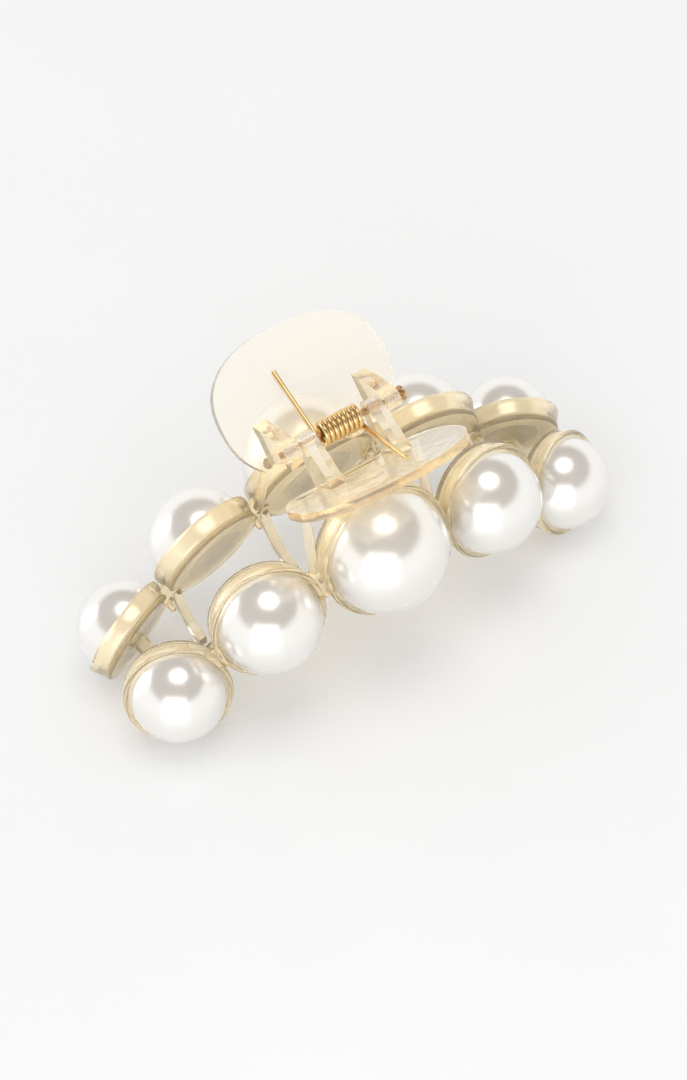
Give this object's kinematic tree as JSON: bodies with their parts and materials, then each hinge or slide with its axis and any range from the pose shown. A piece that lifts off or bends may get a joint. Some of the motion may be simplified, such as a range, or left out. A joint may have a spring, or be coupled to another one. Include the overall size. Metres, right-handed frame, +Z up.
{
  "type": "hair claw clip",
  "caption": "Hair claw clip with clear spring-hinged jaws, broad thumb plates, inner teeth and a row of pearl beads in shallow cups along each jaw.",
  "frame": {"origin": "centre of the base of the bounding box, on the table plane midway between the jaws, straight below the hinge", "axes": "+X along the hinge pin towards its domed head, +Y towards the rear jaw, +Z up"},
  "size_m": [0.1062, 0.0508, 0.0544],
  "materials": {
    "clear_plastic": "clear, faintly champagne-tinted, moulded and glossy",
    "pearl": "white pearlescent coating",
    "pin_metal": "polished",
    "spring_wire": "bright gold-coloured plating",
    "adhesive": "clear hardened glue"
  },
  "bodies": {
    "front_jaw_body": {"front_jaw": "clear_plastic", "hinge_pin": "pin_metal", "torsion_spring": "spring_wire", "front_pearl_left_end": "pearl", "front_pearl_left_middle": "pearl", "front_pearl_centre": "pearl", "front_pearl_right_middle": "pearl", "front_pearl_right_end": "pearl", "front_glue_pads": "adhesive"},
    "rear_jaw_body": {"rear_jaw": "clear_plastic", "rear_pearl_left_end": "pearl", "rear_pearl_left_middle": "pearl", "rear_pearl_centre": "pearl", "rear_pearl_right_middle": "pearl", "rear_pearl_right_end": "pearl", "rear_glue_pads": "adhesive"}
  },
  "joints": [
    {"name": "jaw_hinge", "type": "hinge", "parent": "front_jaw_body", "child": "rear_jaw_body", "pos_m": [0, 0, 0.04732], "axis": [1, 0, 0], "range_deg": [0, 60], "stiffness_Nm_per_rad": 0.2, "springref_deg": -45.84, "deforming": ["torsion_spring"]}
  ]
}
